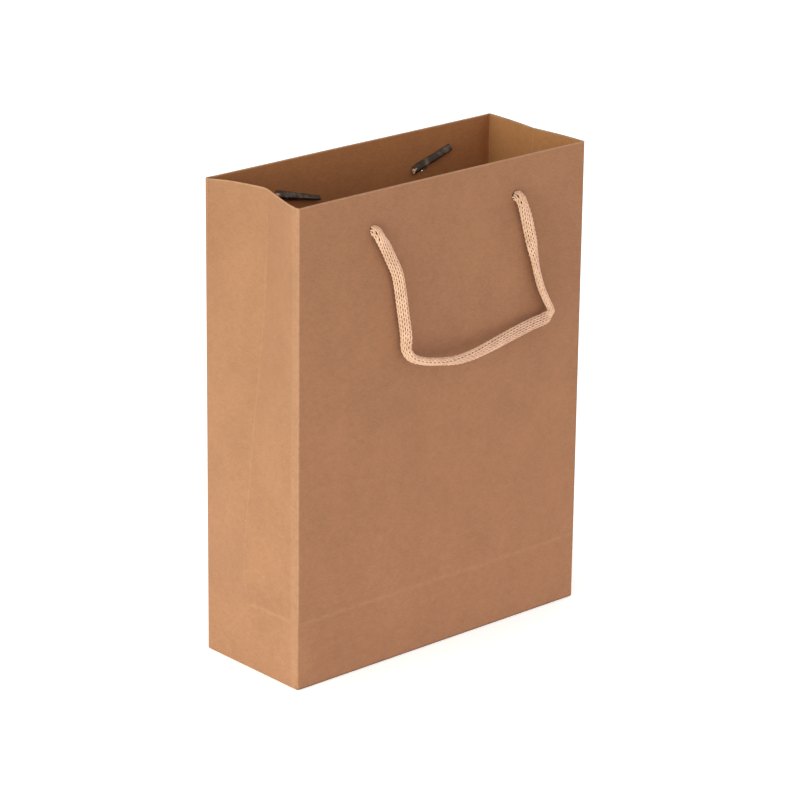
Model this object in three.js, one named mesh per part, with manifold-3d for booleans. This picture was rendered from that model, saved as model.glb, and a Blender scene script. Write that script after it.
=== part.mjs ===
// A kraft paper gift bag with a folding body and two cord handles.
// Millimetres, +Z up. The front of the bag faces -Y, the gussets face -X and +X,
// and the origin is the middle of the underside.
import * as THREE from 'three';
import { mergeVertices } from 'three/addons/utils/BufferGeometryUtils.js';
import Module from 'manifold-3d';

const wasm = await Module();
wasm.setup();

// The bag's body.
const bagWidth = 210;
const bagDepth = 78;
const bagHeight = 275;
const paper = 0.35; // one ply of kraft
const foldGap = 0.15; // every sheet stops this far from its fold line
const plyGap = 0.15; // glue line between two plies

// The rim: the paper is turned in over a strip of card on the front and back.
const hemHeight = 40;
const hemSetback = 9; // a hem stops this far from a corner, so that the corner can fold
const rimCardThickness = 0.5;
const rimCardShort = 2.5; // the card ends this far above the hem's edge
const rimCardSetback = 2; // from the ends of its hem

// The side seam: a flap of the back panel glued inside the right gusset.
const seamFlapWidth = 15;
const seamFlapSetback = 4;

// The block bottom: four flaps in layers, under a card board.
const frontFlapReach = 50;
const backFlapReach = 48;
const flapSetback = 3; // keeps the inner flaps clear of the folding gussets
const endFlapReach = 36;
const endFlapTaper = 20;
const boardThickness = 1;
const boardInset = 5;

// The handles: a cord through two punched holes, with a barb on each end inside.
const handleSpacing = 105;
const holeDrop = 22; // hole centre below the rim
const cordDiameter = 4.8;
const holeClearance = 0.6; // all round the cord
const cordSides = 10;
const cordSteps = 78;
const endStandOff = 1.3; // the cord end shows this far outside its hole
const touchGap = 0.3; // between the cord's pieces

const barbLength = 31;
const barbHeight = 3.4;
const barbThickness = 2.6;
const claspWidth = 6;
const claspDrop = 2.4; // clasp below the hole's centre
const cordEndInside = 0.6; // cord end past the hem's inner ply

// One barb for each hole of a panel, seen from inside the bag. reach is the part of the
// barb to the left of its hole, rise is its height over the hole.
const barbs = [
  { name: 'left', side: -1, reach: 6, rise: 5.6, tilt: -16.4 },
  { name: 'right', side: 1, reach: 11, rise: 4.1, tilt: 17.4 },
];

// Each cord hangs from the left hole to the right hole, seen from the front of the bag.
// A point is [x, out from the line of the holes, down from it].
const frontRoute = [
  [-52.5, 0.0, 0.0], [-47.8, 0.0, 8.5], [-43.4, 0.0, 16.6], [-39.1, 0.2, 25.3],
  [-36.9, 0.3, 34.2], [-35.5, 0.5, 43.5], [-33.8, 0.8, 54.0], [-32.6, 1.2, 63.3],
  [-33.0, 1.8, 69.8], [-30.0, 2.6, 74.6], [-22.4, 3.6, 78.1], [-10.9, 4.8, 80.6],
  [2.0, 5.4, 82.1], [14.1, 5.2, 81.6], [26.2, 4.4, 80.1], [38.5, 3.4, 78.3],
  [50.9, 2.4, 76.5], [63.1, 1.6, 74.9], [72.6, 1.0, 73.9], [77.0, 0.6, 70.9],
  [73.5, 0.5, 63.8], [69.1, 0.4, 55.3], [65.7, 0.3, 45.3], [62.8, 0.1, 33.7],
  [59.9, 0.0, 22.7], [56.0, 0.0, 9.8], [52.5, 0.0, 0.0],
];
const backRoute = [
  [-52.5, 0.0, 0.0], [-53.4, 0.0, 10.0], [-54.6, 0.1, 21.0], [-56.3, 0.3, 33.0],
  [-58.6, 0.5, 45.0], [-61.4, 0.8, 57.0], [-63.4, 1.2, 66.0], [-61.9, 1.8, 72.4],
  [-55.5, 2.6, 75.8], [-45.0, 3.6, 78.4], [-32.0, 4.6, 80.6], [-18.0, 5.2, 81.9],
  [-4.0, 5.3, 82.2], [10.0, 4.9, 81.4], [23.0, 4.0, 79.7], [34.5, 3.0, 77.3],
  [42.3, 2.2, 74.1], [45.6, 1.5, 68.4], [46.2, 1.0, 60.0], [47.0, 0.6, 49.0],
  [48.3, 0.3, 36.0], [49.9, 0.1, 23.0], [51.4, 0.0, 11.0], [52.5, 0.0, 0.0],
];

// Sizes that follow from the ones above.
const creaseHeight = bagDepth / 2; // the bottom folds up to here when the bag is flat
const panelHalf = bagWidth / 2 - paper - foldGap;
const gussetHalf = bagDepth / 2 - paper - foldGap;
const panelHem = paper + plyGap + rimCardThickness + plyGap + paper;
const rimCardHeight = hemHeight - paper - plyGap - rimCardShort;
const gussetHem = 2 * paper;
const holeHeight = bagHeight - holeDrop;
const diagonalGap = foldGap * Math.SQRT2;
const holeDiameter = cordDiameter + 2 * holeClearance;
const cordStandOff = endStandOff + touchGap + cordDiameter / 2;

const kraft = { color: 0xbd8a63, roughness: 0.85, metalness: 0 };
const kraftInside = { color: 0xa67850, roughness: 0.88, metalness: 0 };
const card = { color: 0x9c8b76, roughness: 0.9, metalness: 0 };
const knit = { color: 0xe9c9ab, roughness: 0.9, metalness: 0 };
const darkMetal = { color: 0x3a2f2a, roughness: 0.4, metalness: 0.8 };

const bag = new THREE.Group();

function addMesh(parent, name, geometry, finish) {
  const mesh = new THREE.Mesh(geometry, new THREE.MeshStandardMaterial(finish));
  mesh.name = name;
  parent.add(mesh);
  return mesh;
}

function toSolid(geometry) {
  const bare = geometry.clone();
  bare.deleteAttribute('normal');
  bare.deleteAttribute('uv');
  const merged = mergeVertices(bare, 1e-5);
  const mesh = new wasm.Mesh({
    numProp: 3,
    vertProperties: new Float32Array(merged.attributes.position.array),
    triVerts: new Uint32Array(merged.index.array),
  });
  return new wasm.Manifold(mesh);
}

function toGeometry(solid) {
  const mesh = solid.getMesh();
  const geometry = new THREE.BufferGeometry();
  geometry.setAttribute('position', new THREE.BufferAttribute(mesh.vertProperties, 3));
  geometry.setIndex(new THREE.BufferAttribute(mesh.triVerts, 1));
  geometry.computeVertexNormals();
  return geometry;
}

// A wall is drawn as it is seen from inside the bag: X to the right, Z up, its outer face
// at y = 0 and the inside of the bag towards -Y. Its group turns and moves it into place.
function addWall(turn, x, y) {
  const wall = new THREE.Group();
  wall.rotation.z = turn;
  wall.position.set(x, y, 0);
  bag.add(wall);
  return wall;
}

function sheet(points, thickness) {
  const outline = new THREE.Shape(points.map(([x, z]) => new THREE.Vector2(x, z)));
  const geometry = new THREE.ExtrudeGeometry(outline, { depth: thickness, bevelEnabled: false });
  return geometry.rotateX(Math.PI / 2);
}

function block(left, right, bottom, top, outer, inner) {
  const geometry = new THREE.BoxGeometry(right - left, inner - outer, top - bottom);
  return geometry.translate((left + right) / 2, -(outer + inner) / 2, (bottom + top) / 2);
}

function rectangle(left, right, bottom, top) {
  return [[left, bottom], [right, bottom], [right, top], [left, top]];
}

// A round rod along Y from one depth in the wall to another, at a hole's centre.
function rodAtHole(side, diameter, sides, outer, inner) {
  const geometry = new THREE.CylinderGeometry(diameter / 2, diameter / 2, inner - outer, sides);
  return geometry.translate((side * handleSpacing) / 2, -(outer + inner) / 2, holeHeight);
}

function punchHoles(solid) {
  const punch = (side) => toSolid(rodAtHole(side, holeDiameter, 24, -1, panelHem + 1));
  return solid.subtract(punch(-1)).subtract(punch(1));
}

// A front or back panel: one ply that turns in at the rim and comes down inside the card.
function panel(bottom) {
  const hemEnd = panelHalf - hemSetback;
  const outer = toSolid(sheet(rectangle(-panelHalf, panelHalf, bottom, bagHeight), paper));
  const fold = toSolid(block(-hemEnd, hemEnd, bagHeight - paper, bagHeight, paper / 2, panelHem));
  const hemBottom = bagHeight - hemHeight;
  const inner = toSolid(block(-hemEnd, hemEnd, hemBottom, bagHeight, panelHem - paper, panelHem));
  return toGeometry(punchHoles(outer.add(fold).add(inner)));
}

function rimCard() {
  const end = panelHalf - hemSetback - rimCardSetback;
  const top = bagHeight - paper - plyGap;
  const outer = paper + plyGap;
  const strip = block(-end, end, top - rimCardHeight, top, outer, outer + rimCardThickness);
  return toGeometry(punchHoles(toSolid(strip)));
}

// Half a gusset, from its centre crease to a corner of the bag, on the side given.
// Its hem is glued flat, and stops short of the corner.
function gussetSheet(side, lowerPoints) {
  const points = [[side * foldGap, bagHeight], [side * gussetHalf, bagHeight], ...lowerPoints];
  const near = side * foldGap;
  const far = side * (gussetHalf - hemSetback);
  const left = Math.min(near, far);
  const right = Math.max(near, far);
  const hem = block(left, right, bagHeight - hemHeight, bagHeight, paper / 2, gussetHem);
  return toGeometry(toSolid(sheet(points, paper)).add(toSolid(hem)));
}

// Height on the diagonal crease, at a distance from the gusset's centre crease.
function diagonal(distance, gap) {
  return creaseHeight - distance + gap;
}

// The back half keeps its lower corner, because the two stay in one plane as the bag folds.
function backGussetHalf(side) {
  return gussetSheet(side, [
    [side * gussetHalf, diagonal(gussetHalf, diagonalGap)],
    [side * foldGap, diagonal(foldGap, diagonalGap)],
  ]);
}

function frontGussetHalf(side) {
  const bottom = creaseHeight + foldGap;
  return gussetSheet(side, [[side * gussetHalf, bottom], [side * foldGap, bottom]]);
}

function frontCornerTriangle(side) {
  const top = creaseHeight - foldGap;
  const start = foldGap + diagonalGap;
  return sheet([
    [side * start, top],
    [side * gussetHalf, top],
    [side * gussetHalf, diagonal(gussetHalf, diagonalGap)],
  ], paper);
}

function bottomTriangle() {
  const bottom = 2 * foldGap;
  const half = creaseHeight - diagonalGap - bottom;
  return sheet([[-half, bottom], [half, bottom], [0, creaseHeight - diagonalGap]], paper);
}

// A flat sheet or board lying on its layer of the bottom.
function floorSheet(points, thickness, height) {
  const outline = new THREE.Shape(points.map(([x, y]) => new THREE.Vector2(x, y)));
  const geometry = new THREE.ExtrudeGeometry(outline, { depth: thickness, bevelEnabled: false });
  return geometry.translate(0, 0, height);
}

function endFlap(side) {
  const outer = side * (panelHalf - flapSetback);
  const inner = side * (panelHalf - flapSetback - endFlapReach);
  const half = gussetHalf - flapSetback;
  return [[outer, -half], [outer, half], [inner, half - endFlapTaper], [inner, endFlapTaper - half]];
}

function addBottom() {
  const layer = paper + plyGap;
  const frontEdge = -gussetHalf;
  const backEdge = gussetHalf - flapSetback;
  const innerHalf = panelHalf - flapSetback;
  const frontFlap = rectangle(-panelHalf, panelHalf, frontEdge, frontEdge + frontFlapReach);
  const backFlap = rectangle(-innerHalf, innerHalf, backEdge - backFlapReach, backEdge);
  addMesh(bag, 'bottom_front_flap', floorSheet(frontFlap, paper, 0), kraft);
  addMesh(bag, 'bottom_back_flap', floorSheet(backFlap, paper, layer), kraft);
  addMesh(bag, 'bottom_left_end_flap', floorSheet(endFlap(-1), paper, 2 * layer), kraft);
  addMesh(bag, 'bottom_right_end_flap', floorSheet(endFlap(1), paper, 2 * layer), kraft);
  const boardHalfWidth = panelHalf - boardInset;
  const boardHalfDepth = gussetHalf - boardInset;
  const board = rectangle(-boardHalfWidth, boardHalfWidth, -boardHalfDepth, boardHalfDepth);
  addMesh(bag, 'base_board', floorSheet(board, boardThickness, 3 * layer), card);
}

// The glue flap lies inside the back half of the right gusset, under its hem.
function seamFlap() {
  const end = -(gussetHalf - seamFlapSetback);
  const outline = [end, end + seamFlapWidth, creaseHeight, bagHeight - hemHeight - foldGap];
  return block(...outline, paper + plyGap, 2 * paper + plyGap);
}

// A barb is a strip with round ends, and a clasp that reaches down over the cord's end.
// It is drawn about its hole's centre, along its own length.
function barbOutline(barb) {
  const tilt = THREE.MathUtils.degToRad(barb.tilt);
  const radius = barbHeight / 2;
  const middle = barb.rise * Math.cos(tilt);
  const left = -barb.reach + radius;
  const right = barbLength - barb.reach - radius;
  const clasp = claspWidth / 2;
  const outline = new THREE.Shape();
  outline.moveTo(-clasp, -claspDrop);
  outline.lineTo(clasp, -claspDrop);
  outline.lineTo(clasp, middle - radius);
  outline.lineTo(right, middle - radius);
  outline.absarc(right, middle, radius, -Math.PI / 2, Math.PI / 2, false);
  outline.lineTo(left, middle + radius);
  outline.absarc(left, middle, radius, Math.PI / 2, (3 * Math.PI) / 2, false);
  outline.lineTo(-clasp, middle - radius);
  outline.closePath();
  return outline;
}

function barbSolid(barb) {
  const extrusion = { depth: barbThickness, bevelEnabled: false, curveSegments: 8 };
  const geometry = new THREE.ExtrudeGeometry(barbOutline(barb), extrusion);
  geometry.rotateZ(THREE.MathUtils.degToRad(barb.tilt));
  geometry.rotateX(Math.PI / 2);
  const outer = panelHem + cordEndInside + touchGap;
  return geometry.translate((barb.side * handleSpacing) / 2, -outer, holeHeight);
}

// The two cord ends through a panel's holes, and the barbs that hold them inside.
function addCordEnds(wall, panelName) {
  for (const barb of barbs) {
    const inner = panelHem + cordEndInside;
    const end = rodAtHole(barb.side, cordDiameter, cordSides, -endStandOff, inner);
    addMesh(wall, `${panelName}_${barb.name}_cord_end`, end, knit);
    addMesh(wall, `${panelName}_${barb.name}_barb`, barbSolid(barb), darkMetal);
  }
}

// The stretch of cord outside a panel. outward is -1 in front of the bag and 1 behind it.
function handleCord(route, outward) {
  const points = route.map(([x, out, down]) => {
    const y = outward * (bagDepth / 2 + cordStandOff + out);
    return new THREE.Vector3(x, y, holeHeight - down);
  });
  const path = new THREE.CatmullRomCurve3(points);
  const section = new THREE.Shape();
  section.absarc(0, 0, cordDiameter / 2, 0, 2 * Math.PI, false);
  return new THREE.ExtrudeGeometry(section, {
    steps: cordSteps,
    curveSegments: cordSides / 2,
    extrudePath: path,
  });
}

const back = addWall(0, 0, bagDepth / 2);
const left = addWall(Math.PI / 2, -bagWidth / 2, 0);
const front = addWall(Math.PI, 0, -bagDepth / 2);
const right = addWall(-Math.PI / 2, bagWidth / 2, 0);

addMesh(back, 'back_panel', panel(0), kraft);
addMesh(back, 'back_rim_card', rimCard(), card);
addMesh(front, 'front_panel', panel(creaseHeight + foldGap), kraft);
addMesh(front, 'front_rim_card', rimCard(), card);
const strip = rectangle(-panelHalf, panelHalf, 0, creaseHeight - foldGap);
addMesh(front, 'front_lower_strip', sheet(strip, paper), kraft);

addMesh(left, 'left_gusset_back_half', backGussetHalf(1), kraftInside);
addMesh(left, 'left_gusset_front_half', frontGussetHalf(-1), kraftInside);
addMesh(left, 'left_front_corner_triangle', frontCornerTriangle(-1), kraftInside);
addMesh(left, 'left_bottom_triangle', bottomTriangle(), kraftInside);

addMesh(right, 'right_gusset_back_half', backGussetHalf(-1), kraftInside);
addMesh(right, 'right_gusset_front_half', frontGussetHalf(1), kraftInside);
addMesh(right, 'right_front_corner_triangle', frontCornerTriangle(1), kraftInside);
addMesh(right, 'right_bottom_triangle', bottomTriangle(), kraftInside);
addMesh(right, 'side_seam_flap', seamFlap(), kraft);

addBottom();
addCordEnds(front, 'front');
addCordEnds(back, 'back');
addMesh(bag, 'front_handle_cord', handleCord(frontRoute, -1), knit);
addMesh(bag, 'back_handle_cord', handleCord(backRoute, 1), knit);

export default bag;
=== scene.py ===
import math

import bmesh
import bpy
import numpy as np
from mathutils import Matrix, Vector, noise


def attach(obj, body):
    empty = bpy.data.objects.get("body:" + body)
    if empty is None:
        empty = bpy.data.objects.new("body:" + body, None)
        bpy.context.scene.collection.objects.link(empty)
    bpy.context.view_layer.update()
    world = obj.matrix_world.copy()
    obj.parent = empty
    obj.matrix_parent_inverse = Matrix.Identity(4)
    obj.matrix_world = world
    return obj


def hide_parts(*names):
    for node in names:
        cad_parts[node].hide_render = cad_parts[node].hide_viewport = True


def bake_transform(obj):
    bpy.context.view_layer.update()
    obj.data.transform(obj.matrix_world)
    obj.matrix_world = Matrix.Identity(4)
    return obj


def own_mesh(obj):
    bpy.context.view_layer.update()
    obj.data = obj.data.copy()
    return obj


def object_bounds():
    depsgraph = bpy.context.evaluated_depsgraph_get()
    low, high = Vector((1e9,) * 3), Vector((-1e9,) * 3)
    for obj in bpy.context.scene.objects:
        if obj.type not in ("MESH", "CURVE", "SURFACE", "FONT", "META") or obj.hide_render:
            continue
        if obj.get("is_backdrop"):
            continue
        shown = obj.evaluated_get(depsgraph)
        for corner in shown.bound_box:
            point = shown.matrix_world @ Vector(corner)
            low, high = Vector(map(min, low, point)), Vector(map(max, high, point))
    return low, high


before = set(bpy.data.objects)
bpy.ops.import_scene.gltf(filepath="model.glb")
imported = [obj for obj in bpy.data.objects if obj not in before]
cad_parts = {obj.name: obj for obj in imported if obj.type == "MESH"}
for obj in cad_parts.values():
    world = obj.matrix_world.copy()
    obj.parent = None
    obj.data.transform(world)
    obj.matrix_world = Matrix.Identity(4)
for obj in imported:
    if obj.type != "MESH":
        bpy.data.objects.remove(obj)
cad_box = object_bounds()

# ---------------------------------------------------------------------------------------------
# The viewer's place, in front and to the left of the bag and a little above its rim, far enough
# off that the bag's edges look parallel.
camera_data = bpy.data.cameras.new("viewer")
camera_data.lens = 163.08
camera_data.sensor_width = 36
camera_data.clip_end = 20
camera = bpy.data.objects.new("viewer", camera_data)
bpy.context.scene.collection.objects.link(camera)
VIEWER_PLACE = Vector((-1.28209, -1.42534, 0.81429))
camera.matrix_world = (
    Matrix.Translation(VIEWER_PLACE)
    @ Matrix.Rotation(math.radians(-42.04), 4, "Z")
    @ Matrix.Rotation(math.radians(70.48), 4, "X")
    @ Matrix.Rotation(math.radians(0.688), 4, "Z")
)
bpy.context.scene.camera = camera


# ---------------------------------------------------------------------------------------------
# Kraft paper: unbleached brown wrapping paper with long fibres lying across the bag, cloudy where
# the pulp is uneven and paler where a fold has broken its surface. Its corner folds and rim are
# paler also as a painted highlight, and a band of painted highlight runs beside the front left
# edge. Painted light and shade make it lighter low down and darker high up, browner inside the
# rim, and darker along the foot of the front panel as a painted contact shadow.
class Value:
    """A number that a finish works out, so that a sum of such numbers is written as a sum."""

    def __init__(self, finish, socket):
        self.finish = finish
        self.socket = socket

    def worked(self, operation, *terms):
        return self.finish.add("ShaderNodeMath", {"operation": operation}, dict(enumerate(terms)))

    def __add__(self, other):
        return self.worked("ADD", self, other)

    __radd__ = __add__

    def __sub__(self, other):
        return self.worked("SUBTRACT", self, other)

    def __rsub__(self, other):
        return self.worked("SUBTRACT", other, self)

    def __mul__(self, other):
        return self.worked("MULTIPLY", self, other)

    __rmul__ = __mul__

    def __abs__(self):
        return self.worked("ABSOLUTE", self)

    def at_least(self, other):
        return self.worked("MAXIMUM", self, other)

    def at_most(self, other):
        return self.worked("MINIMUM", self, other)


class Finish:
    """A finish put together from nodes. add() takes a node's settings first, then its sockets."""

    def __init__(self, name):
        self.material = bpy.data.materials.new(name)
        self.material.use_nodes = True
        self.tree = self.material.node_tree
        self.tree.nodes.clear()

    def add(self, kind, settings=None, sockets=None, out=0):
        node = self.tree.nodes.new(kind)
        for setting, value in (settings or {}).items():
            setattr(node, setting, value)
        for socket, value in (sockets or {}).items():
            if isinstance(value, Value):
                self.tree.links.new(value.socket, node.inputs[socket])
            else:
                node.inputs[socket].default_value = value
        return Value(self, node.outputs[out])

    def place(self):
        return self.add("ShaderNodeTexCoord", out="Object")

    def grain(self, scale, detail, roughness=0.6, turn=(0, 0, 0)):
        """Cloudy noise from 0 to 1, with so many grains to the metre along each axis."""
        spread = self.add(
            "ShaderNodeMapping", {}, {"Vector": self.place(), "Rotation": turn, "Scale": scale}
        )
        return self.add(
            "ShaderNodeTexNoise", {},
            {"Vector": spread, "Scale": 1.0, "Detail": detail, "Roughness": roughness},
        )

    def ramp(self, value, low, high, first=0.0, last=1.0):
        """Value eased from first, where it is low, to last, where it is high."""
        return self.add(
            "ShaderNodeMapRange", {"interpolation_type": "SMOOTHSTEP"},
            {"Value": value, "From Min": low, "From Max": high, "To Min": first, "To Max": last},
        )

    def mix(self, amount, first, second):
        return self.add(
            "ShaderNodeMix", {"data_type": "RGBA"}, {0: amount, 6: first, 7: second}, out=2
        )

    def bumps(self, height, depth, strength=1.0):
        return self.add(
            "ShaderNodeBump", {}, {"Strength": strength, "Distance": depth, "Height": height}
        )

    def done(self, sockets):
        surface = self.add("ShaderNodeBsdfPrincipled", {}, sockets)
        output = self.tree.nodes.new("ShaderNodeOutputMaterial")
        self.tree.links.new(surface.socket, output.inputs["Surface"])
        return self.material


# the bag's size, then how far along the blank its upright edges are and its front's middle is
PANEL = 0.210
GUSSET = 0.078
HEIGHT = 0.275
CREASE = GUSSET / 2
CORNERS = (0.0, PANEL, PANEL + GUSSET, 2 * PANEL + GUSSET, 2 * PANEL + 2 * GUSSET)
FRONT_MIDDLE = CORNERS[2] + PANEL / 2
EDGE = 0.003
# the paper's colours, its paler colour at worn folds and painted highlights, then what they are
# multiplied by as painted light and shade: low down, high up, inside the rim and underfoot
KRAFT_DARK = (0.254, 0.113, 0.0555, 1)
KRAFT_PALE = (0.358, 0.163, 0.0825, 1)
KRAFT_WORN_AND_HIGHLIT = (0.470, 0.265, 0.155, 1)
KRAFT_LOW = (1.05, 1.04, 1.04, 1)
KRAFT_HIGH = (0.935, 0.925, 0.905, 1)
KRAFT_INSIDE_PAINTED_SHADE = (1.20, 1.07, 0.76, 1)
KRAFT_FOOT_PAINTED_SHADOW = (0.42, 0.40, 0.42, 1)


def folds_wear_and_painted_light(finish, colour, mottle, fine):
    """The colour with worn folds, painted highlights and painted light and shade, and where it is
    worn and highlit.
    """
    blank = finish.add("ShaderNodeUVMap", {"uv_map": "blank"})
    along = finish.add("ShaderNodeSeparateXYZ", {}, {"Vector": blank}, out="X")
    up = finish.add("ShaderNodeSeparateXYZ", {}, {"Vector": blank}, out="Y")
    from_middle = abs(along - FRONT_MIDDLE)
    gusset = abs(from_middle - (PANEL + GUSSET) / 2)
    at_corner = abs(gusset - GUSSET / 2)
    at_end = abs(abs(along - CORNERS[2]) - CORNERS[2])
    # the corner folds are paler partly from wear and partly as a painted highlight
    fold = finish.ramp(at_corner.at_most(at_end), 0.0009, 0.0002) * 0.38
    # painted highlight: a paler band on the gusset beside the front left edge, where it turns to
    # the light
    painted_highlight_band = finish.ramp(abs(along - (CORNERS[2] - EDGE)), 0.0042, 0.0012) * 0.15
    above = finish.ramp(up, CREASE - 0.002, CREASE + 0.010)
    centre = finish.ramp(gusset, 0.0008, 0.0001) * above * 0.16
    # the rim's top is paler partly from wear and partly as a painted highlight
    edge = finish.ramp(abs(up - HEIGHT - 0.0001), 0.0011, 0.0004) * 0.60
    inside_gusset = finish.ramp(gusset, GUSSET / 2 + 0.0002, GUSSET / 2 - 0.0002)
    front = finish.ramp(from_middle, (PANEL + GUSSET) / 2 + 0.0005, (PANEL + GUSSET) / 2)
    level = finish.ramp(abs(up - CREASE), 0.0020, 0.0003) * front * 0.15
    slant = finish.ramp(abs(gusset + up - CREASE), 0.0008, 0.0001) * inside_gusset * 0.08
    wear_and_highlight = fold.at_least(centre).at_least(edge).at_least(level).at_least(slant)
    wear_and_highlight = wear_and_highlight.at_least(painted_highlight_band)
    broken = finish.ramp(mottle + 0.5 * fine, 0.45, 0.95, 0.45, 1.0)
    colour = finish.mix(wear_and_highlight * broken, colour, KRAFT_WORN_AND_HIGHLIT)
    # painted light and shade: lighter low down and darker high up
    painted_light_and_shade = finish.mix(finish.ramp(up, 0.0, HEIGHT), KRAFT_LOW, KRAFT_HIGH)
    # painted shade: browner inside the rim, where the bag's inside lies in shade
    painted_light_and_shade = finish.mix(finish.ramp(up, HEIGHT + 0.0004, HEIGHT + 0.0012), painted_light_and_shade, KRAFT_INSIDE_PAINTED_SHADE)
    # painted shadow: darker along the front panel's foot, as a contact shadow on the table
    at_foot = finish.ramp(up, 0.0014, 0.0002)
    painted_foot_shadow = at_foot * finish.ramp(from_middle, PANEL / 2, PANEL / 2 - 0.0015)
    painted_light_and_shade = finish.mix(painted_foot_shadow, painted_light_and_shade, KRAFT_FOOT_PAINTED_SHADOW)
    colour = finish.add(
        "ShaderNodeMix", {"data_type": "RGBA", "blend_type": "MULTIPLY"},
        {0: 1.0, 6: colour, 7: painted_light_and_shade}, out=2,
    )
    return colour, wear_and_highlight


def kraft(name, creased):
    finish = Finish(name)
    clouds = finish.grain((38, 38, 30), 3, 0.55)
    mottle = finish.grain((210, 210, 260), 3, 0.6)
    fibres = finish.grain((520, 520, 2300), 4, 0.65)
    fine = finish.grain((2600, 2600, 3600), 2, 0.6)
    flecks = finish.grain((900, 900, 2800), 1, 0.5, (0.3, 0.2, 0))
    dark_fleck = finish.ramp(flecks, 0.68, 0.78)
    pale_fleck = finish.ramp(1 - flecks, 0.70, 0.80)
    tone = 0.18 * clouds + 0.14 * mottle + 0.44 * fibres + 0.24 * fine
    tone = finish.ramp(tone, 0.33, 0.67)
    tone = (tone + 0.45 * pale_fleck - 0.70 * dark_fleck).at_least(-0.2).at_most(1.3)
    colour = finish.mix(tone, KRAFT_DARK, KRAFT_PALE)
    relief = 0.5 * fibres + 0.25 * fine + 0.25 * mottle
    if creased:
        colour, wear_and_highlight = folds_wear_and_painted_light(finish, colour, mottle, fine)
        relief = relief + 0.6 * wear_and_highlight * fibres
    return finish.done({
        "Base Color": colour,
        "Roughness": 0.72 + 0.16 * fibres,
        "Specular IOR Level": 0.30,
        "Normal": finish.bumps(relief, 0.00016, 0.55),
    })


kraft_walls = kraft("creased_kraft", True)
kraft_flat = kraft("flat_kraft", False)


# ---------------------------------------------------------------------------------------------
# The tube: one blank, creased and rolled up as back panel, left gusset, front panel and right
# gusset. A place on it is how far along the blank and how far up, and past the rim the paper
# turns in and comes down inside. Once stood open, the gussets keep some of their old pinch.
PAPER = 0.00035
PANEL_HEM = 0.0015
GUSSET_HEM = 0.00078
HEM = 0.040
CORNER_RADIUS = 0.0009
HALF_WIDTH = PANEL / 2
HALF_DEPTH = GUSSET / 2
# each wall: where it starts, which way it goes on, which way is inward, and its length
SIDES = (
    (Vector((HALF_WIDTH, HALF_DEPTH, 0)), Vector((-1, 0, 0)), Vector((0, -1, 0)), PANEL),
    (Vector((-HALF_WIDTH, HALF_DEPTH, 0)), Vector((0, -1, 0)), Vector((1, 0, 0)), GUSSET),
    (Vector((-HALF_WIDTH, -HALF_DEPTH, 0)), Vector((1, 0, 0)), Vector((0, 1, 0)), PANEL),
    (Vector((HALF_WIDTH, -HALF_DEPTH, 0)), Vector((0, 1, 0)), Vector((-1, 0, 0)), GUSSET),
)
# how far a gusset's middle leans in: height up it, then the lean
LEFT_PINCH = (
    (0.0, 0.0), (0.0390, 0.0), (0.0460, -0.0032), (0.0560, -0.0056), (0.0680, -0.0058),
    (0.0850, -0.0042), (0.1050, -0.0022), (0.1300, 0.0002), (0.1700, 0.0048), (0.2200, 0.0088),
    (0.2760, 0.0120),
)
RIGHT_PINCH = (
    (0.0, 0.0), (0.0390, 0.0), (0.0600, -0.0018), (0.0850, -0.0020), (0.1300, -0.0006),
    (0.1900, 0.0012), (0.2760, 0.0026),
)
# the same along the left gusset's rim: distance from its back edge, then the lean
LEFT_RIM = (
    (EDGE, 0.0), (0.0125, 0.0056), (0.0234, 0.0091), (0.0318, 0.0112), (0.0372, 0.0116),
    (0.0447, 0.0093), (0.0564, 0.0052), (0.0683, 0.0014), (GUSSET - EDGE, 0.0),
)


def smooth_through(keys, x):
    """A smooth line through keys, which are (place, value or values) pairs in order."""
    places = [k[0] for k in keys]
    values = [np.array(k[1], float) for k in keys]
    i = min(max(int(np.searchsorted(places, x)) - 1, 0), len(keys) - 2)
    slopes = []
    for j in (i, i + 1):
        low, high = max(j - 1, 0), min(j + 1, len(keys) - 1)
        slopes.append((values[high] - values[low]) / (places[high] - places[low]))
    span = places[i + 1] - places[i]
    t = min(max((x - places[i]) / span, 0.0), 1.0)
    return (
        (2 * t**3 - 3 * t**2 + 1) * values[i]
        + (t**3 - 2 * t**2 + t) * span * slopes[0]
        + (3 * t**2 - 2 * t**3) * values[i + 1]
        + (t**3 - t**2) * span * slopes[1]
    )


def eased(x, low, high):
    t = min(max((x - low) / (high - low), 0.0), 1.0)
    return t * t * (3 - 2 * t)


def sag(side, across, up):
    """How far a wall leans into the bag at a place on it."""
    length = SIDES[side][3]
    near = min(across, length - across)
    stiff = 1.0 - 0.65 * eased(up, 0.225, 0.240)
    low = eased(up, 0.0, 0.012)
    where = Vector((across, up, 0.31 * side))
    waves = 0.62 * noise.noise(where * 13) + 0.26 * noise.noise(where * 34)
    waves += 0.09 * noise.noise(where * 90)
    wavy = 0.001 * waves * stiff * low * eased(near, EDGE, 0.024)
    if side in (0, 2):
        crease = 0.00022 * max(0.0, 1 - abs(up - CREASE) / 0.0016) if side == 2 else 0.0
        return wavy + crease * eased(near, EDGE, EDGE + 0.004)
    pinch = smooth_through(LEFT_PINCH if side == 1 else RIGHT_PINCH, up)
    facet = max(0.0, (near - EDGE) / (length / 2 - EDGE))
    bow = -0.0007 * math.sin(math.pi * facet) * eased(up, CREASE, 0.09)
    lean = pinch * facet + bow
    if side == 1:
        at_rim = eased(up, 0.165, 0.272)
        lean += (smooth_through(LEFT_RIM, across) - lean) * at_rim
    return lean + 0.8 * wavy * (1 - facet**3)


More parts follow.
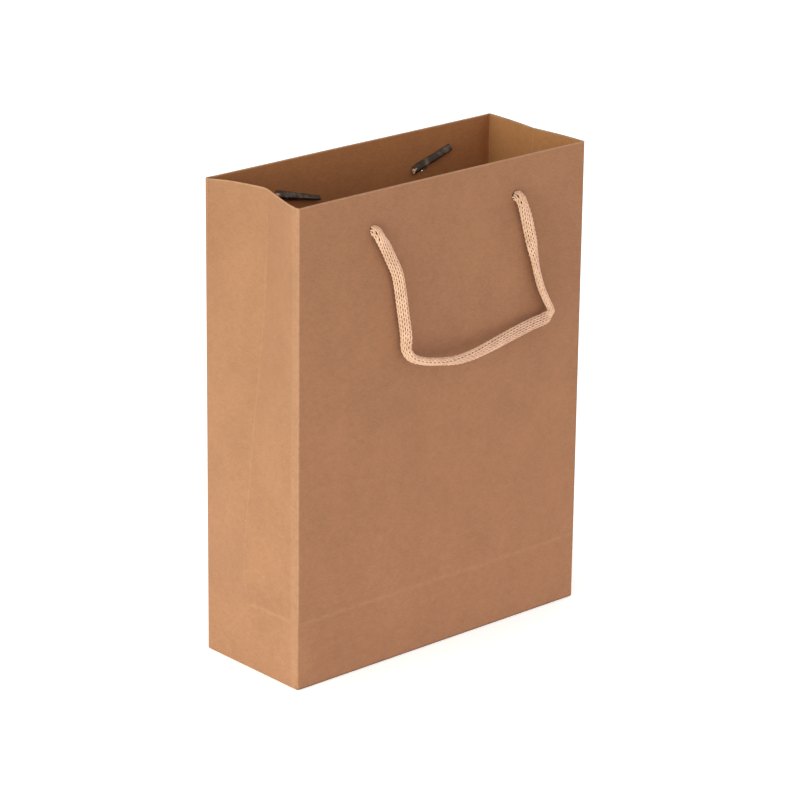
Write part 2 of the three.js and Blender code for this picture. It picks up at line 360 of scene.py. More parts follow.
def on_tube(along, up, depth=None):
    """Where a place on the flat blank goes. A depth puts it on a layer inside the wall."""
    if not 0 <= along <= CORNERS[-1]:
        along %= CORNERS[-1]
    side = max(i for i in range(4) if CORNERS[i] <= along + 1e-9)
    start, ahead, inward, length = SIDES[side]
    across = along - CORNERS[side]
    near = min(across, length - across)
    hem = GUSSET_HEM
    if side in (0, 2):
        hem += (PANEL_HEM - GUSSET_HEM) * eased(near, 0.0035, 0.0075)
    half = PAPER / 2
    turn = hem / 2
    round_in = 0.0008
    if depth is not None:
        level, deep = up, depth
    elif up < round_in:
        angle = min((round_in - up) / (round_in - half), math.pi / 2)
        level = round_in - (round_in - half) * math.sin(angle)
        deep = round_in - (round_in - half) * math.cos(angle)
    elif up <= HEIGHT - turn:
        level, deep = up, half
    else:
        angle = (up - HEIGHT + turn) / (turn - half)
        if angle < math.pi:
            level = HEIGHT - turn + (turn - half) * math.sin(angle)
            deep = turn - (turn - half) * math.cos(angle)
        else:
            level = HEIGHT - turn - (angle - math.pi) * (turn - half)
            deep = hem - half
    place = start + ahead * across + inward * deep
    if near < CORNER_RADIUS and deep < CORNER_RADIUS:
        swing = (1 - near / CORNER_RADIUS) * math.pi / 4
        first = across < length / 2
        middle = CORNER_RADIUS if first else length - CORNER_RADIUS
        reach = math.sin(swing) * (-1 if first else 1)
        centre = start + ahead * middle + inward * CORNER_RADIUS
        place = centre + (CORNER_RADIUS - deep) * (ahead * reach - inward * math.cos(swing))
    place += inward * float(sag(side, across, level))
    place.z = level
    return place


def settled(piece, sharp=38):
    """Works a piece's modifiers into its mesh, then shades it smooth up to its sharp edges."""
    graph = bpy.context.evaluated_depsgraph_get()
    made = bpy.data.meshes.new_from_object(
        piece.evaluated_get(graph), preserve_all_data_layers=True, depsgraph=graph
    )
    piece.modifiers.clear()
    piece.data = made
    made.name = piece.name
    made.shade_smooth()
    made.set_sharp_from_angle(angle=math.radians(sharp))
    return piece


def cut_sheet(name, low, high, place, finish, cuts=(), rows=(), cell=0.004, thick=PAPER):
    """A flat cut from low to high, trimmed along cuts, ruled along rows, then put in place."""
    sheet = bmesh.new()
    width, height = high[0] - low[0], high[1] - low[1]
    centre = Vector(((low[0] + high[0]) / 2, (low[1] + high[1]) / 2, 0))
    bmesh.ops.create_grid(
        sheet,
        x_segments=max(1, round(width / cell)),
        y_segments=max(1, round(height / cell)),
        size=0.5,
        matrix=Matrix.Translation(centre) @ Matrix.Diagonal((width, height, 1, 1)),
    )
    for row in rows:
        bmesh.ops.bisect_plane(
            sheet, geom=sheet.verts[:] + sheet.edges[:] + sheet.faces[:], dist=1e-6,
            plane_co=(0, row, 0), plane_no=(0, 1, 0),
        )
    for point, away in cuts:
        bmesh.ops.bisect_plane(
            sheet, geom=sheet.verts[:] + sheet.edges[:] + sheet.faces[:], dist=1e-6,
            plane_co=(*point, 0), plane_no=(*away, 0), clear_outer=True,
        )
    blank = sheet.loops.layers.uv.new("blank")
    for face in sheet.faces:
        for loop in face.loops:
            loop[blank].uv = loop.vert.co.xy
    for vert in sheet.verts:
        vert.co = place(vert.co.x, vert.co.y)
    bmesh.ops.remove_doubles(sheet, verts=sheet.verts, dist=1e-6)
    bmesh.ops.recalc_face_normals(sheet, faces=sheet.faces)
    mesh = bpy.data.meshes.new(name)
    sheet.to_mesh(mesh)
    sheet.free()
    mesh.materials.append(finish)
    piece = bpy.data.objects.new(name, mesh)
    bpy.context.scene.collection.objects.link(piece)
    wall = piece.modifiers.new("thickness", "SOLIDIFY")
    wall.thickness = thick
    wall.offset = 0
    wall.use_even_offset = True
    return piece


FOOT = -0.0002
TURNED = HEIGHT + HEM
RIM_ROWS = [HEIGHT + 0.0002 * i for i in range(-5, 14)]
CREASE_ROWS = [CREASE + d for d in (-0.0016, -0.0008, 0, 0.0008, 0.0016)]
FOOT_ROWS = [0.0002, 0.0005, 0.0008]
back_wall = cut_sheet(
    "back_wall", (EDGE, FOOT), (PANEL - EDGE, TURNED), on_tube, kraft_walls,
    rows=FOOT_ROWS + RIM_ROWS,
)
front_wall = cut_sheet(
    "front_wall", (CORNERS[2] + EDGE, CREASE), (CORNERS[3] - EDGE, TURNED), on_tube, kraft_walls,
    rows=CREASE_ROWS[3:] + RIM_ROWS,
)

# ---------------------------------------------------------------------------------------------
# The strips of card in the rim, and the holes: a strip lies inside each turned-in hem, front and
# back, and both holes are punched through paper and card in one stroke.
HOLE_SPACING = 0.105
HOLE_HEIGHT = 0.253
HOLE_RADIUS = 0.003
STRIP_INSET = 0.012
STRIP_FOOT = 0.2380
STRIP_TOP = 0.2742
STRIP_CARD = 0.00045


def card(name, tint):
    finish = Finish(name)
    clouds = finish.grain((60, 60, 60), 3)
    fibres = finish.grain((900, 500, 1400), 4, 0.7)
    specks = finish.ramp(finish.grain((1500, 1500, 1500), 1, 0.4), 0.66, 0.76)
    tone = 0.4 * clouds + 0.6 * fibres - 0.4 * specks
    dark = tuple(c * 0.72 for c in tint) + (1,)
    pale = tuple(c * 1.22 for c in tint) + (1,)
    return finish.done({
        "Base Color": finish.mix(finish.ramp(tone, 0.25, 0.70), dark, pale),
        "Roughness": 0.80 + 0.12 * fibres,
        "Specular IOR Level": 0.25,
        "Normal": finish.bumps(fibres, 0.00012, 0.5),
    })


grey_card = card("grey_card", (0.33, 0.26, 0.185))


def in_hem(along, up):
    return on_tube(along, up, PANEL_HEM / 2)


back_card = cut_sheet(
    "back_rim_strip", (STRIP_INSET, STRIP_FOOT), (PANEL - STRIP_INSET, STRIP_TOP), in_hem,
    grey_card, thick=STRIP_CARD,
)
front_card = cut_sheet(
    "front_rim_strip", (CORNERS[2] + STRIP_INSET, STRIP_FOOT),
    (CORNERS[3] - STRIP_INSET, STRIP_TOP), in_hem, grey_card, thick=STRIP_CARD,
)
punch = bmesh.new()
for outward in (-1, 1):
    for hand in (-1, 1):
        spot = Vector((hand * HOLE_SPACING / 2, outward * HALF_DEPTH, HOLE_HEIGHT))
        bmesh.ops.create_cone(
            punch, cap_ends=True, segments=40, radius1=HOLE_RADIUS, radius2=HOLE_RADIUS,
            depth=0.012, matrix=Matrix.Translation(spot) @ Matrix.Rotation(math.pi / 2, 4, "X"),
        )
punch_mesh = bpy.data.meshes.new("punch")
punch.to_mesh(punch_mesh)
punch.free()
punch_tool = bpy.data.objects.new("punch", punch_mesh)
bpy.context.scene.collection.objects.link(punch_tool)
for punched in (back_wall, front_wall, back_card, front_card):
    hole = punched.modifiers.new("holes", "BOOLEAN")
    hole.operation = "DIFFERENCE"
    hole.solver = "EXACT"
    hole.object = punch_tool
    settled(punched)
bpy.data.objects.remove(punch_tool)
for piece, body, node in (
    (back_wall, "back_panel", "back_panel"),
    (front_wall, "front_panel", "front_panel"),
    (back_card, "back_panel", "back_rim_card"),
    (front_card, "front_panel", "front_rim_card"),
):
    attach(piece, body)
    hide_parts(node)
    "grey_card" if "card" in node else "kraft_paper"

# ---------------------------------------------------------------------------------------------
# The gussets: each is creased down its middle, and its lower end is creased slantwise to the
# bottom corners.
SLANT = math.sqrt(0.5)
GUSSET_FACE = HALF_WIDTH - PAPER


def in_order(a, b):
    return (min(a, b), max(a, b))


for hand, first, flip in (("left", CORNERS[1], 1), ("right", CORNERS[4], -1)):
    middle = first + flip * GUSSET / 2
    far = first + flip * GUSSET
    low, high = in_order(first + flip * EDGE, middle)
    back_half = cut_sheet(
        f"{hand}_gusset_back", (low, FOOT), (high, TURNED), on_tube, kraft_walls,
        cuts=[((first, 0), (flip * SLANT, -SLANT))], rows=CREASE_ROWS + RIM_ROWS, cell=0.003,
    )
    low, high = in_order(middle, far - flip * EDGE)
    front_half = cut_sheet(
        f"{hand}_gusset_front", (low, CREASE), (high, TURNED), on_tube, kraft_walls,
        rows=CREASE_ROWS[3:] + RIM_ROWS, cell=0.003,
    )
    for piece, body, node in (
        (back_half, f"{hand}_gusset_back", f"{hand}_gusset_back_half"),
        (front_half, f"{hand}_gusset_front", f"{hand}_gusset_front_half"),
    ):
        settled(piece)
        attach(piece, body)
        -flip * GUSSET_FACE
        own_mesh(piece)
        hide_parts(node)

    low, high = in_order(middle, far)
    corner = cut_sheet(
        f"{hand}_front_corner", (low, 0.0), (high, CREASE), on_tube, kraft_walls,
        cuts=[((far, 0), (-flip * SLANT, -SLANT))], rows=CREASE_ROWS[:2], cell=0.003,
    )
    low, high = in_order(first, far)
    triangle = cut_sheet(
        f"{hand}_end_triangle", (low, FOOT), (high, CREASE), on_tube, kraft_walls,
        cuts=[((first, 0), (-flip * SLANT, SLANT)), ((far, 0), (flip * SLANT, SLANT))],
        rows=FOOT_ROWS, cell=0.003,
    )
    for piece, body, node in (
        (corner, f"{hand}_front_corner", f"{hand}_front_corner_triangle"),
        (triangle, f"{hand}_bottom_triangle", f"{hand}_bottom_triangle"),
    ):
        settled(piece)
        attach(piece, body)
        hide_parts(node)

# ---------------------------------------------------------------------------------------------
# The upright edges: a narrow strip of the same paper goes round each corner of the tube, where
# the blank was scored.
BEND = 0.0025
BEND_HEIGHT = 0.1


def near_edge(side_x, side_y, wall):
    """A place on a panel or a gusset, close to the upright edge on these sides of the bag."""
    x = HALF_WIDTH - (BEND if wall == "panel" else 0)
    y = HALF_DEPTH - (BEND if wall == "gusset" else 0)
    return (side_x * x, side_y * y, BEND_HEIGHT)


for name, corner, first_body, second_body, side_x, side_y in (
    ("left_back_edge", CORNERS[1], "back_panel", "left_gusset_back", -1, 1),
    ("left_front_edge", CORNERS[2], "left_gusset_front", "front_panel", -1, -1),
    ("right_front_edge", CORNERS[3], "front_panel", "right_gusset_front", 1, -1),
    ("right_back_edge", CORNERS[4], "right_gusset_back", "back_panel", 1, 1),
):
    cuts = []
    if side_y > 0:
        cuts = [((corner, 0), (-side_x * SLANT, -SLANT))]
    low = FOOT if side_y > 0 else CREASE
    start = near_edge(side_x, side_y, "panel" if "panel" in first_body else "gusset")
    end = near_edge(side_x, side_y, "panel" if "panel" in second_body else "gusset")
    strip = cut_sheet(
        name, (corner - EDGE, low), (corner + EDGE, TURNED), on_tube, kraft_walls,
        cuts=cuts, rows=RIM_ROWS + (FOOT_ROWS if low < 0 else []), cell=0.0009,
    )
    settled(strip, 60)
    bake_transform(strip)

# ---------------------------------------------------------------------------------------------
# The lower front strip: the part of the front panel under the bottom crease, which swings out
# when the bag is pressed flat.
lower_strip = cut_sheet(
    "front_foot", (CORNERS[2], FOOT), (CORNERS[3], CREASE), on_tube, kraft_walls,
    rows=FOOT_ROWS + CREASE_ROWS[:2],
)
settled(lower_strip)
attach(lower_strip, "front_lower_strip")
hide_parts("front_lower_strip")

# ---------------------------------------------------------------------------------------------
# The side seam: a flap at the blank's end, glued inside the back half of the right gusset. It is
# pressed flat together with that half.
GLUED_IN = 0.00062


def inside_wall(along, up):
    return on_tube(along, up, GLUED_IN)


seam = cut_sheet(
    "seam_flap", (CORNERS[4] - 0.0190, CREASE), (CORNERS[4] - 0.0045, 0.2348), inside_wall,
    kraft_walls,
)
settled(seam)
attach(seam, "right_gusset_back")
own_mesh(seam)
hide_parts("side_seam_flap")

# ---------------------------------------------------------------------------------------------
# The block bottom: two end flaps, then the back and front flaps folded in and glued over them,
# and a loose board of grey card laid on top of them inside.
END_FLAP_TIP = 0.0155
END_FLAP_TAPER = (0.4856, 0.8742)
BOARD_HALF = (0.0995, 0.0335)
BOARD_CORNER = 0.0030
BOARD_THICK = 0.00095
# each flap: two opposite corners of it, its height, and which way its end is tapered
for name, node, low, high, level, tapered in (
    ("foot_front_flap", "bottom_front_flap", (-0.1043, -0.0384), (0.1043, 0.0115), 0.0002, 0),
    ("foot_back_flap", "bottom_back_flap", (-0.1028, -0.0125), (0.1028, 0.0380), 0.00068, 0),
    ("foot_left_flap", "bottom_left_end_flap", (-0.1015, -0.0355), (-0.0655, 0.0355), 0.00118, 1),
    ("foot_right_flap", "bottom_right_end_flap", (0.0655, -0.0355), (0.1015, 0.0355), 0.00118, -1),
):
    cuts = []
    if tapered:
        tip = high[0] if tapered > 0 else low[0]
        cuts = [
            ((tip, side * END_FLAP_TIP), (tapered * END_FLAP_TAPER[0], side * END_FLAP_TAPER[1]))
            for side in (1, -1)
        ]

    def laid(x, y, level=level):
        return Vector((x, y, level + 0.00006 * noise.noise(Vector((x, y, level)) * 60)))

    flap = cut_sheet(name, low, high, laid, kraft_flat, cuts=cuts)
    settled(flap)
    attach(flap, "bottom")
    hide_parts(node)


def board_place(x, y):
    return Vector((x, y, 0.0020 + 0.00008 * noise.noise(Vector((x, y, 0)) * 25)))


board = cut_sheet(
    "base_card", (-BOARD_HALF[0], -BOARD_HALF[1]), BOARD_HALF, board_place, grey_card,
    cuts=[
        ((sx * (BOARD_HALF[0] - BOARD_CORNER), sy * BOARD_HALF[1]), (sx * SLANT, sy * SLANT))
        for sx in (-1, 1) for sy in (-1, 1)
    ],
    thick=BOARD_THICK,
)
settled(board)
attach(board, "bottom")
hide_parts("base_board")

# ---------------------------------------------------------------------------------------------
# The handles: each is a soft hollow cord, knitted as a tube of six wales in thick cream yarn
# and pressed flat. It goes through its two holes, and hangs down the panel between them.
# the knit: stitches round the cord, their height, the yarn's radius, points to a stitch, how far
# a loop reaches and how much it narrows, then the cord's section, its ends and its hollow
WALES = 6
COURSE = 0.0028
YARN = 0.00052
STEPS = 12
LOOP = 0.96
LOOP_WAIST = 0.19
CORD_HALF_WIDTH = 0.0028
CORD_HALF_THICK = 0.0013
CORD_END_RADIUS = 0.0022
CORD_PULL = 0.20
HOLLOW_DEPTH = 0.00085
# millimetres: how far off the wall a cord hangs, then across, out from there and down its route
STAND_OFF = 4.0
FRONT_ROUTE = [
    (-52.5, 0.0, 0.0), (-47.8, 0.0, 8.5), (-43.4, 0.0, 16.6), (-39.1, 0.2, 25.3),
    (-36.9, 0.3, 34.2), (-35.5, 0.5, 43.5), (-33.8, 0.8, 54.0), (-32.6, 1.2, 63.3),
    (-33.0, 1.8, 69.8), (-30.0, 2.6, 74.6), (-22.4, 3.6, 78.1), (-10.9, 4.8, 80.6),
    (2.0, 5.4, 82.1), (14.1, 5.2, 81.6), (26.2, 4.4, 80.1), (38.5, 3.4, 78.3),
    (50.9, 2.4, 76.5), (63.1, 1.6, 74.9), (72.6, 1.0, 73.9), (77.0, 0.6, 70.9),
    (73.5, 0.5, 63.8), (69.1, 0.4, 55.3), (65.7, 0.3, 45.3), (62.8, 0.1, 33.7),
    (59.9, 0.0, 22.7), (56.0, 0.0, 9.8), (52.5, 0.0, 0.0),
]
BACK_ROUTE = [
    (-52.5, 0.0, 0.0), (-53.4, 0.0, 10.0), (-54.6, 0.1, 21.0), (-56.3, 0.3, 33.0),
    (-58.6, 0.5, 45.0), (-61.4, 0.8, 57.0), (-63.4, 1.2, 66.0), (-61.9, 1.8, 72.4),
    (-55.5, 2.6, 75.8), (-45.0, 3.6, 78.4), (-32.0, 4.6, 80.6), (-18.0, 5.2, 81.9),
    (-4.0, 5.3, 82.2), (10.0, 4.9, 81.4), (23.0, 4.0, 79.7), (34.5, 3.0, 77.3),
    (42.3, 2.2, 74.1), (45.6, 1.5, 68.4), (46.2, 1.0, 60.0), (47.0, 0.6, 49.0),
    (48.3, 0.3, 36.0), (49.9, 0.1, 23.0), (51.4, 0.0, 11.0), (52.5, 0.0, 0.0),
]
# which way the cord's width lies: distance from the left end, then a direction
FRONT_LIE = (
    (0.000, (1, 0, 0)), (0.008, (1, 0, 0)), (0.020, (0.86, -0.25, 0.30)),
    (0.045, (0.84, -0.50, 0.10)), (0.070, (0.78, -0.62, 0.05)), (0.079, (0.55, -0.74, 0.35)),
    (0.087, (0.15, -0.88, 0.45)), (0.100, (0, -0.90, 0.43)), (0.117, (0, -0.86, 0.50)),
    (0.132, (0, -0.45, 0.89)), (0.158, (0, 0.10, 0.99)), (0.180, (0, 0.40, 0.91)),
    (0.198, (-0.10, 0.42, 0.90)), (0.207, (-0.62, 0.20, 0.50)), (0.214, (-0.48, -0.84, -0.22)),
    (0.234, (-0.44, -0.87, -0.23)), (0.252, (-0.74, -0.50, -0.20)), (0.270, (-0.80, 0.52, -0.23)),
    (0.290, (-1, 0, 0)), (0.300, (-1, 0, 0)),
)
BACK_LIE = (
    (0.000, (1, 0, 0)), (0.008, (1, 0, 0)), (0.045, (0.9, 0.35, 0)), (0.070, (0.8, 0.5, 0.1)),
    (0.090, (0.2, 0.5, 0.8)), (0.130, (0, 0.2, 1)), (0.180, (0, -0.2, 1)),
    (0.205, (-0.5, 0.1, 0.7)), (0.225, (-0.95, 0.3, 0)), (0.260, (-0.9, 0.4, 0)),
    (0.285, (-1, 0, 0)), (0.295, (-1, 0, 0)),
)


def cord_line(route, outward):
    """The cord's middle line, one point for each half millimetre."""
    wall, hole = 1000 * HALF_DEPTH, 1000 * HOLE_HEIGHT
    spots = [
        Vector((x, outward * (wall + STAND_OFF + out), hole - down)) for x, out, down in route
    ]

    def through(end, following):
        """From inside the hole out to where the cord hangs free."""
        toward = (following - end).normalized()
        return [
            Vector((end.x, outward * (wall - 1.4), hole)),
            Vector((end.x, outward * (wall + 0.2), hole + 0.1)),
            Vector((end.x, outward * (wall + 1.9), hole)),
            Vector((end.x + 0.9 * toward.x, outward * (wall + 3.4), hole - 1.4)),
            Vector((end.x + 2.6 * toward.x, outward * (wall + STAND_OFF), hole - 3.4)),
        ]

    spots = through(spots[0], spots[1]) + spots[1:-1] + through(spots[-1], spots[-2])[::-1]
    runs = [0.0]
    for a, b in zip(spots, spots[1:]):
        runs.append(runs[-1] + (b - a).length)
    keys = [(run, tuple(spot)) for run, spot in zip(runs, spots)]
    fine = np.array([smooth_through(keys, x) for x in np.linspace(0, runs[-1], 3000)]) / 1000
    steps = np.linalg.norm(np.diff(fine, axis=0), axis=1)
    reach = np.concatenate([[0], np.cumsum(steps)])
    even = np.linspace(0, reach[-1], int(reach[-1] / 0.0005))
    return np.stack([np.interp(even, reach, fine[:, i]) for i in range(3)], axis=1), reach[-1]


def section_table(half_width, half_depth, groove):
    """Points evenly spaced round the flat cord's section, which is drawn in at its two edges."""
    turns = np.linspace(0, 2 * math.pi, 721)
    drawn = 1 - groove * np.exp(-((np.sin(turns) / 0.26) ** 2))
    x = half_width * np.sign(np.cos(turns)) * np.abs(np.cos(turns)) ** 0.85 * drawn
    y = half_depth * np.sign(np.sin(turns)) * np.abs(np.sin(turns)) ** 0.85
    reach = np.concatenate([[0], np.cumsum(np.hypot(np.diff(x), np.diff(y)))])
    even = np.linspace(0, reach[-1], 361)
    x, y = np.interp(even, reach, x), np.interp(even, reach, y)
    dx, dy = np.gradient(x), np.gradient(y)
    size = np.hypot(dx, dy)
    return x, y, dy / size, -dx / size


def knit_finish(name):
    finish = Finish(name)
    clouds = finish.grain((160, 160, 160), 2)
    hairs = finish.grain((3800, 3800, 3800), 3, 0.7)
    strands = finish.grain((1500, 1500, 2600), 2, 0.6, (0.5, 0.4, 0.2))
    tone = finish.ramp(0.3 * clouds + 0.3 * hairs + 0.4 * strands, 0.34, 0.66)
    return finish.done({
        "Base Color": finish.mix(tone, (0.52, 0.285, 0.178, 1), (0.77, 0.490, 0.340, 1)),
        "Roughness": 0.82 + 0.12 * hairs,
        "Specular IOR Level": 0.22,
        "Sheen Weight": 0.25,
        "Sheen Roughness": 0.5,
        "Normal": finish.bumps(0.5 * hairs + 0.5 * strands, 0.00022, 0.6),
    })


knit = knit_finish("cream_knit")
# painted shade: a dark core under the yarn shows as shade between the stitches and in the holes
painted_shade_core = card("cord_core_painted_shade", (0.15, 0.085, 0.05))
cord_lines = {}


def knitted_cord(name, route, outward, lie):
    line, length = cord_line(route, outward)
    ahead = np.gradient(line, axis=0)
    ahead /= np.linalg.norm(ahead, axis=1)[:, None]
    runs = np.linspace(0, length, len(line))
    scale = length / lie[-1][0]
    wide = np.array([smooth_through(lie, run / scale) for run in runs])
    wide -= ahead * np.sum(wide * ahead, axis=1)[:, None]
    wide /= np.linalg.norm(wide, axis=1)[:, None]
    deep = np.cross(ahead, wide)
    flat = section_table(CORD_HALF_WIDTH, CORD_HALF_THICK, CORD_PULL)
    table = np.arange(361) / 360

    def spot(run, turn, out):
        run = min(max(run, 0.0), length)
        end = min(run, length - run)
        open_out = eased(end, 0.006, 0.014)
        broad = CORD_END_RADIUS + (CORD_HALF_WIDTH - CORD_END_RADIUS) * open_out
        thick = CORD_END_RADIUS + (CORD_HALF_THICK - CORD_END_RADIUS) * open_out
        where = run / length * (len(line) - 1)
        i = min(int(where), len(line) - 2)
        t = where - i
        centre = line[i] * (1 - t) + line[i + 1] * t
        w = wide[i] * (1 - t) + wide[i + 1] * t
        d = deep[i] * (1 - t) + deep[i + 1] * t
        turn = turn % 1.0
        x, y, nx, ny = (np.interp(turn, table, part) for part in flat)
        x = x * broad / CORD_HALF_WIDTH + nx * out
        y = y * thick / CORD_HALF_THICK + ny * out
        return centre + w * x + d * y

    courses = int(length / COURSE)
    shape = bpy.data.curves.new(name + "_yarn", "CURVE")
    shape.dimensions = "3D"
    shape.bevel_depth = YARN
    shape.bevel_resolution = 1
    shape.use_fill_caps = True
    yarn = shape.splines.new("POLY")
    stitches = courses * WALES
    yarn.points.add(stitches * STEPS - 1)
    for i in range(stitches * STEPS):
        stitch, t = divmod(i / STEPS, 1.0)
        angle = 2 * math.pi * t
        uneven = 0.06 * noise.noise(Vector((stitch * 0.7, 0, outward)))
        turn = (stitch + t + LOOP_WAIST * math.sin(2 * angle)) / WALES
        run = (stitch + t) / WALES * COURSE + LOOP * (0.80 + uneven) * COURSE * math.cos(angle)
        out = -0.00034 * math.cos(2 * angle) + 0.00006 * noise.noise(Vector((stitch, t, 5)))
        point = spot(run + COURSE * 0.3, turn, out)
        yarn.points[i].co = (*point, 1)
        yarn.points[i].radius = 1.0 + 0.10 * noise.noise(Vector((i * 0.21, 3, outward)))
    maker = bpy.data.objects.new(name + "_yarn", shape)
    bpy.context.scene.collection.objects.link(maker)
    graph = bpy.context.evaluated_depsgraph_get()
    yarn_mesh = bpy.data.meshes.new_from_object(maker.evaluated_get(graph), depsgraph=graph)
    bpy.data.objects.remove(maker)

    cord = bmesh.new()
    rows = int(length / 0.0015)
    bmesh.ops.create_grid(
        cord, x_segments=24, y_segments=rows, size=0.5,
        matrix=Matrix.Translation((0.5, 0.5, 0)),
    )
    for vert in cord.verts:
        from_end = length * min(vert.co.y, 1 - vert.co.y)
        plugged = 0.0009 * (1 - eased(from_end, 0.0025, 0.0045))
        vert.co = spot(vert.co.y * length, vert.co.x, plugged - HOLLOW_DEPTH)
    bmesh.ops.remove_doubles(cord, verts=cord.verts, dist=1e-6)
    bmesh.ops.holes_fill(cord, edges=[e for e in cord.edges if e.is_boundary], sides=0)
    bmesh.ops.recalc_face_normals(cord, faces=cord.faces)
    inner_faces = len(cord.faces)
    cord.from_mesh(yarn_mesh)
    mesh = bpy.data.meshes.new(name)
    cord.to_mesh(mesh)
    cord.free()
    mesh.materials.clear()
    mesh.materials.append(knit)
    mesh.materials.append(painted_shade_core)
    yarn_faces = len(mesh.polygons) - inner_faces
    mesh.polygons.foreach_set("material_index", [1] * inner_faces + [0] * yarn_faces)
    mesh.shade_smooth()
    piece = bpy.data.objects.new(name, mesh)
    bpy.context.scene.collection.objects.link(piece)
    cord_lines[name] = (line, length)
    return piece


front_cord = knitted_cord("front_knitted_cord", FRONT_ROUTE, -1, FRONT_LIE)
back_cord = knitted_cord("back_knitted_cord", BACK_ROUTE, 1, BACK_LIE)

# ---------------------------------------------------------------------------------------------
# The barbs: a strip of dark tinned steel folded lengthwise over the end of the cord, whose cut
# yarns stick out at its short end. It lies across its hole inside and can't be pulled out.
TIN = 0.00030
BARB_HEIGHT = 0.0054
CUT_YARNS = 11
CUT_YARN = 0.00042
# each: hand, its side, its reach beyond the hole, its length, how high it sits and its tilt
BARBS = (
    ("left", -1, 0.0054, 0.0320, 0.0024, -13.2),
    ("right", 1, 0.0082, 0.0290, 0.0016, 17.4),
)


def tin_finish(name):
    finish = Finish(name)
    smudge = finish.grain((240, 240, 240), 3, 0.6)
    scratch = finish.grain((700, 4000, 4000), 3, 0.7, (0.2, 0.3, 0.1))
    scuff = finish.ramp(0.6 * smudge + 0.4 * scratch, 0.46, 0.66)
    return finish.done({
        "Base Color": finish.mix(scuff, (0.042, 0.030, 0.024, 1), (0.170, 0.124, 0.096, 1)),
        "Metallic": 0.90 - 0.25 * scuff,
        "Roughness": 0.34 + 0.22 * scuff + 0.10 * scratch,
        "Normal": finish.bumps(0.5 * scratch + 0.5 * smudge, 0.00008, 0.4),
    })


tinned = tin_finish("dark_tinned_steel")
# across the strip: how far in from the wall, then how far up, of its whole height
FOLD_LINE = (
    (0.00, (0.00040, 0.10)), (0.05, (0.00016, 0.02)), (0.12, (0.00040, 0.05)),
    (0.26, (0.00128, 0.18)), (0.38, (0.00206, 0.31)), (0.44, (0.00226, 0.38)),
    (0.50, (0.00216, 0.47)), (0.72, (0.00130, 0.75)), (0.88, (0.00050, 0.95)),
    (0.95, (0.00016, 0.99)), (1.00, (0.00040, 0.92)),
)
for panel, turn in (("front", math.pi), ("back", 0.0)):
    for hand, side, reach, barb_length, rise, tilt in BARBS:
        lean = math.radians(tilt)
        to_wall = (
            Matrix.Rotation(turn, 4, "Z")
            @ Matrix.Translation((side * HOLE_SPACING / 2, HALF_DEPTH - 0.0020, HOLE_HEIGHT))
            @ Matrix.Rotation(-lean, 4, "Y")
        )

        def folded(u, w):
            """A place on the flat strip, folded: u along it from the hole, w across it."""
            deep, high = smooth_through(FOLD_LINE, w)
            nip = eased(u, -reach, barb_length - reach)
            height = BARB_HEIGHT - (0.0026 if hand == "left" else 0.0006) * nip
            dent = 0.00018 * noise.noise(Vector((u * 160, side, turn)))
            place = Vector((u, -deep, rise + height * (high - 0.5) + dent))
            return to_wall @ place

        strip = bmesh.new()
        bmesh.ops.create_grid(
            strip, x_segments=44, y_segments=36, size=0.5,
            matrix=Matrix.Translation((barb_length / 2 - reach, 0.5, 0))
            @ Matrix.Diagonal((barb_length, 1, 1, 1)),
        )
        for vert in strip.verts:
            vert.co = folded(vert.co.x, vert.co.y)
        bmesh.ops.recalc_face_normals(strip, faces=strip.faces)
        name = f"{panel}_{hand}_tin_barb"
        mesh = bpy.data.meshes.new(name)
        strip.to_mesh(mesh)
        strip.free()
        mesh.materials.append(tinned)
        barb = bpy.data.objects.new(name, mesh)
        bpy.context.scene.collection.objects.link(barb)
        metal = barb.modifiers.new("thickness", "SOLIDIFY")
        metal.thickness = TIN
        metal.offset = 0
        rounding = barb.modifiers.new("rounding", "BEVEL")
        rounding.width = 0.00007
        rounding.segments = 2
        rounding.limit_method = "ANGLE"
        rounding.angle_limit = math.radians(50)
        settled(barb)
        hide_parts(f"{panel}_{hand}_barb")

        cut_yarns = bpy.data.curves.new(name + "_yarns", "CURVE")
        cut_yarns.dimensions = "3D"
        cut_yarns.bevel_depth = CUT_YARN
        cut_yarns.bevel_resolution = 2
        cut_yarns.use_fill_caps = True
        for k in range(CUT_YARNS):
            strand = cut_yarns.splines.new("POLY")
            strand.points.add(9)
            up = 0.0009 * math.sin(k * 2.4)
            deep = 0.0010 + CUT_YARN * math.cos(k * 2.4)
            for i, point in enumerate(strand.points):
                t = i / 9
                stick_out = 0.0058 + 0.0010 * noise.noise(Vector((k, side, turn)))
                out = -reach + 0.005 - t * stick_out
                spread = 1 + 0.25 * t * t
                wave = 0.00016 * math.sin(k + 7 * t)
                frayed = to_wall @ Vector((out, -deep * spread - wave, rise + up * spread))
                point.co = (*frayed, 1)
        maker = bpy.data.objects.new(name + "_yarns", cut_yarns)
        bpy.context.scene.collection.objects.link(maker)
        graph = bpy.context.evaluated_depsgraph_get()
        tuft_mesh = bpy.data.meshes.new_from_object(maker.evaluated_get(graph), depsgraph=graph)
        bpy.data.objects.remove(maker)
        tuft_mesh.materials.clear()
        tuft_mesh.materials.append(knit)
        tuft = bpy.data.objects.new(f"{panel}_{hand}_cut_yarns", tuft_mesh)
        tuft_mesh.shade_smooth()
        bpy.context.scene.collection.objects.link(tuft)
        for piece in (barb, tuft):
            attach(piece, f"{panel}_{hand}_barb")

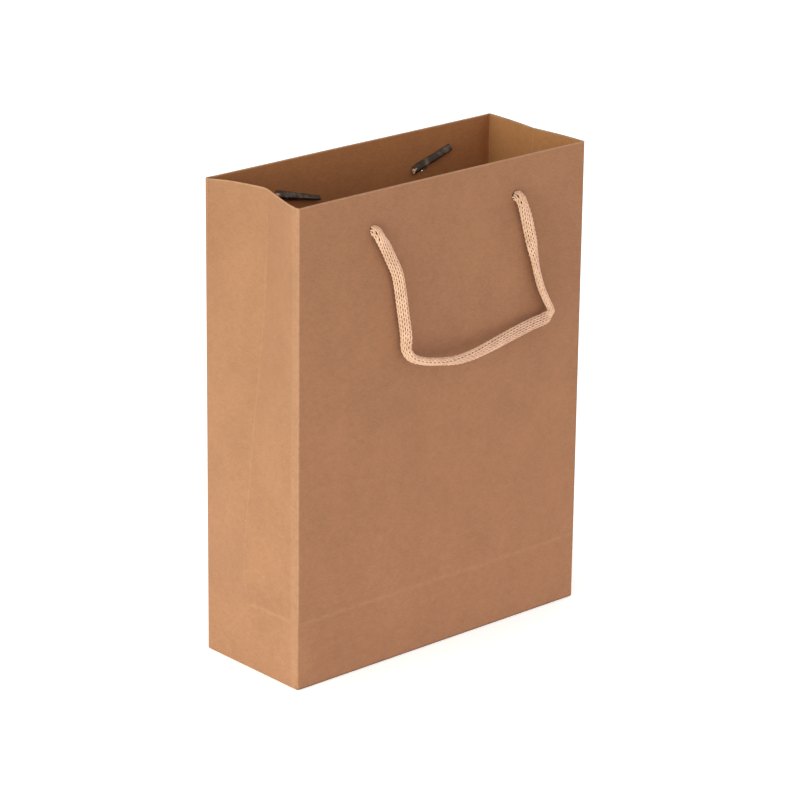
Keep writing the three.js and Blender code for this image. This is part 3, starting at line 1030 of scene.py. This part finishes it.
for panel, cord, outward in (("front", front_cord, -1), ("back", back_cord, 1)):
    line, length = cord_lines[cord.name]
    outward * 0.0395
    outward * 0.0455
    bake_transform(cord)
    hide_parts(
        f"{panel}_handle_cord", f"{panel}_left_cord_end", f"{panel}_right_cord_end"
    )
    outward * HALF_DEPTH
    [tuple(p) for p in line[:-4:6]] + [tuple(line[-1])]

# ---------------------------------------------------------------------------------------------
# The table and the lights: a white sweep under white, even light, with one large soft light to
# the left of the bag and a weak one low in front of it.
sweep = bmesh.new()
bmesh.ops.create_circle(sweep, cap_ends=True, segments=64, radius=6)
bmesh.ops.translate(sweep, verts=sweep.verts, vec=(0, 0, -0.00002))
sweep_mesh = bpy.data.meshes.new("table")
sweep.to_mesh(sweep_mesh)
sweep.free()
white = Finish("white_sweep")
grain = white.grain((6, 6, 6), 2)
sweep_mesh.materials.append(white.done({
    "Base Color": white.mix(grain, (0.86, 0.86, 0.86, 1), (0.90, 0.90, 0.90, 1)),
    "Roughness": 0.9,
    "Emission Color": (1, 1, 1, 1),
    "Emission Strength": 0.32,
}))
table = bpy.data.objects.new("table", sweep_mesh)
bpy.context.scene.collection.objects.link(table)
table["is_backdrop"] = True

sky = bpy.data.worlds.new("white_room")
sky.use_nodes = True
sky.node_tree.nodes["Background"].inputs["Color"].default_value = (1, 1, 1, 1)
sky.node_tree.nodes["Background"].inputs["Strength"].default_value = 1.0
bpy.context.scene.world = sky


def soft_light(name, place, toward, size, power, tint):
    lamp = bpy.data.lights.new(name, "AREA")
    lamp.shape = "SQUARE"
    lamp.size = size
    lamp.energy = power
    lamp.color = tint
    holder = bpy.data.objects.new(name, lamp)
    bpy.context.scene.collection.objects.link(holder)
    away = Vector(place) - Vector(toward)
    turn = away.to_track_quat("Z", "Y").to_matrix().to_4x4()
    holder.matrix_world = Matrix.Translation(place) @ turn


soft_light("left_window", (-2.5, -0.25, 0.45), (0, 0, 0.12), 1.2, 62, (0.83, 1.0, 0.86))
soft_light("low_front", (-0.10, -0.68, 0.06), (0, 0, 0.08), 0.3, 0.45, (1.0, 0.97, 0.93))
bpy.context.scene.view_settings.view_transform = "Standard"

low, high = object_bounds()
{"cad": [list(p) for p in cad_box], "visual": [list(low), list(high)]}
